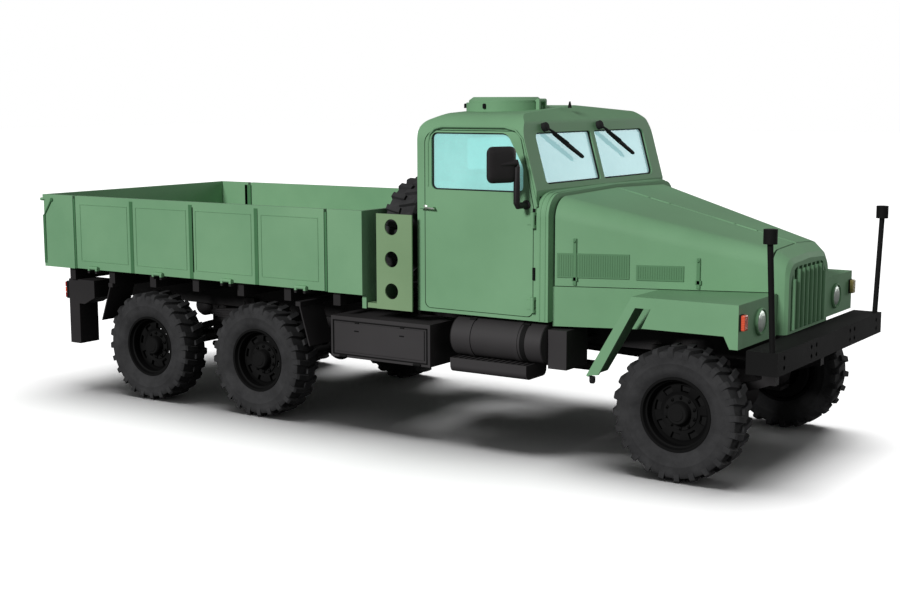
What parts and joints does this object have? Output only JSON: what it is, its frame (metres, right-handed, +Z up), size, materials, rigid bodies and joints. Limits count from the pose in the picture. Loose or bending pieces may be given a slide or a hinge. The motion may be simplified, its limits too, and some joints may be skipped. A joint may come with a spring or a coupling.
{
  "type": "six-wheel bonneted military cargo truck",
  "caption": "Bonneted all-wheel-drive cargo truck with a closed cab, drop-side steel bed, roof hatch, flat-topped fenders and upright spare wheel.",
  "frame": {"origin": "bottom centre of the bounding box, on the ground under the middle of the truck", "axes": "+X forward along the truck, +Y to its left, +Z up"},
  "size_m": [7.03, 2.8462, 2.645],
  "materials": {
    "body_green": "satin olive green enamel",
    "bed_green": "satin olive green enamel",
    "carrier_green": "satin yellow-green enamel",
    "chassis_black": "matt black chassis paint",
    "bumper_black": "satin black paint",
    "box_grey": "matt dark grey paint",
    "rim_black": "satin black paint",
    "mirror_black": "moulded black shell",
    "engine_iron": "cast",
    "spring_steel": "painted spring leaves",
    "exhaust_steel": "heat-dulled steel",
    "tyre_rubber": "dull black rubber",
    "flap_rubber": "dull rubber sheet",
    "seat_vinyl": "dark grained vinyl",
    "dash_paint": "satin dark green",
    "wheel_plastic": "hard dark plastic",
    "cab_glass": "pale blue-green glass",
    "lamp_glass": "ribbed clear lens",
    "signal_lens": "orange-red lens"
  },
  "bodies": {
    "chassis": {"frame_rails": "chassis_black", "front_bumper": "bumper_black", "front_fenders": "body_green", "nose_shell": "body_green", "grille": "body_green", "bonnet_sides": "body_green", "cowl": "body_green", "cab_floor": "body_green", "cab_rear_wall": "body_green", "cab_roof": "body_green", "cab_frame": "body_green", "fixed_glass": "cab_glass", "seats": "seat_vinyl", "dashboard": "dash_paint", "engine_block": "engine_iron", "radiator": "chassis_black", "equipment_boxes": "box_grey", "fuel_tanks": "box_grey", "spare_tyre": "tyre_rubber", "spare_rim": "rim_black", "spare_carrier": "carrier_green", "bed_floor": "bed_green", "bed_front_board": "bed_green", "bed_corners": "bed_green", "rear_hangers": "chassis_black", "tow_coupling": "chassis_black", "axles": "chassis_black", "leaf_springs": "spring_steel", "driveline": "chassis_black", "wipers": "bumper_black", "headlamps": "lamp_glass", "signal_lamps": "signal_lens", "exhaust": "exhaust_steel"},
    "door_right": {"door_right": "body_green", "door_glass_right": "cab_glass", "mirror_right": "mirror_black"},
    "door_left": {"door_left": "body_green", "door_glass_left": "cab_glass", "mirror_left": "mirror_black"},
    "bonnet_lid_right": {"bonnet_lid_right": "body_green"},
    "bonnet_lid_left": {"bonnet_lid_left": "body_green"},
    "roof_hatch": {"roof_hatch": "body_green"},
    "steering_wheel": {"steering_wheel": "wheel_plastic"},
    "tailgate": {"tailgate": "bed_green"},
    "side_board_right": {"side_board_right": "bed_green"},
    "side_board_left": {"side_board_left": "bed_green"},
    "knuckle_right": {"knuckle_right": "chassis_black"},
    "knuckle_left": {"knuckle_left": "chassis_black"},
    "wheel_front_left": {"tyre_front_left": "tyre_rubber", "rim_front_left": "rim_black"},
    "wheel_front_right": {"tyre_front_right": "tyre_rubber", "rim_front_right": "rim_black"},
    "wheel_middle_left": {"tyre_middle_left": "tyre_rubber", "rim_middle_left": "rim_black"},
    "wheel_middle_right": {"tyre_middle_right": "tyre_rubber", "rim_middle_right": "rim_black"},
    "wheel_rear_left": {"tyre_rear_left": "tyre_rubber", "rim_rear_left": "rim_black"},
    "wheel_rear_right": {"tyre_rear_right": "tyre_rubber", "rim_rear_right": "rim_black"}
  },
  "joints": [
    {"name": "door_right_swing", "type": "hinge", "parent": "chassis", "child": "door_right", "pos_m": [1.628, -1.074, 1.5], "axis": [0, 0, 1], "range_deg": [0, 70]},
    {"name": "door_left_swing", "type": "hinge", "parent": "chassis", "child": "door_left", "pos_m": [1.628, 1.074, 1.5], "axis": [0, 0, -1], "range_deg": [0, 70]},
    {"name": "bonnet_right_lift", "type": "hinge", "parent": "chassis", "child": "bonnet_lid_right", "pos_m": [1.744, 0, 1.942], "axis": [-0.9716, 0, 0.2366], "range_deg": [0, 60]},
    {"name": "bonnet_left_lift", "type": "hinge", "parent": "chassis", "child": "bonnet_lid_left", "pos_m": [1.744, 0, 1.942], "axis": [0.9716, 0, -0.2366], "range_deg": [0, 60]},
    {"name": "roof_hatch_lift", "type": "hinge", "parent": "chassis", "child": "roof_hatch", "pos_m": [1.314, -0.42, 2.618], "axis": [0, 1, 0], "range_deg": [0, 100]},
    {"name": "tailgate_drop", "type": "hinge", "parent": "chassis", "child": "tailgate", "pos_m": [-3.499, 0, 1.141], "axis": [0, -1, 0], "range_deg": [0, 175]},
    {"name": "side_board_right_drop", "type": "hinge", "parent": "chassis", "child": "side_board_right", "pos_m": [0, -1.215, 1.141], "axis": [1, 0, 0], "range_deg": [0, 175]},
    {"name": "side_board_left_drop", "type": "hinge", "parent": "chassis", "child": "side_board_left", "pos_m": [0, 1.215, 1.141], "axis": [-1, 0, 0], "range_deg": [0, 175]},
    {"name": "steer_right", "type": "hinge", "parent": "chassis", "child": "knuckle_right", "pos_m": [2.794, -0.78, 0.475], "axis": [0, 0, 1], "range_deg": [-28, 28]},
    {"name": "steer_left", "type": "hinge", "parent": "chassis", "child": "knuckle_left", "pos_m": [2.794, 0.78, 0.475], "axis": [0, 0, 1], "range_deg": [-28, 28]},
    {"name": "steering_wheel_turn", "type": "hinge", "parent": "chassis", "child": "steering_wheel", "pos_m": [1.314, 0.42, 1.96], "axis": [-0.6279, 0, 0.7783], "range_deg": [-450, 450]},
    {"name": "wheel_front_left_spin", "type": "hinge", "parent": "knuckle_left", "child": "wheel_front_left", "pos_m": [2.794, 1.005, 0.475], "axis": [0, 1, 0], "continuous": true},
    {"name": "wheel_front_right_spin", "type": "hinge", "parent": "knuckle_right", "child": "wheel_front_right", "pos_m": [2.794, -1.005, 0.475], "axis": [0, 1, 0], "continuous": true},
    {"name": "wheel_middle_left_spin", "type": "hinge", "parent": "chassis", "child": "wheel_middle_left", "pos_m": [-1.006, 1.005, 0.475], "axis": [0, 1, 0], "continuous": true},
    {"name": "wheel_middle_right_spin", "type": "hinge", "parent": "chassis", "child": "wheel_middle_right", "pos_m": [-1.006, -1.005, 0.475], "axis": [0, 1, 0], "continuous": true},
    {"name": "wheel_rear_left_spin", "type": "hinge", "parent": "chassis", "child": "wheel_rear_left", "pos_m": [-2.256, 1.005, 0.475], "axis": [0, 1, 0], "continuous": true},
    {"name": "wheel_rear_right_spin", "type": "hinge", "parent": "chassis", "child": "wheel_rear_right", "pos_m": [-2.256, -1.005, 0.475], "axis": [0, 1, 0], "continuous": true}
  ],
  "couplings": [
    {"joint": "steer_left", "follows": "steer_right", "ratio": 1},
    {"joint": "steering_wheel_turn", "follows": "steer_right", "ratio": 16}
  ]
}
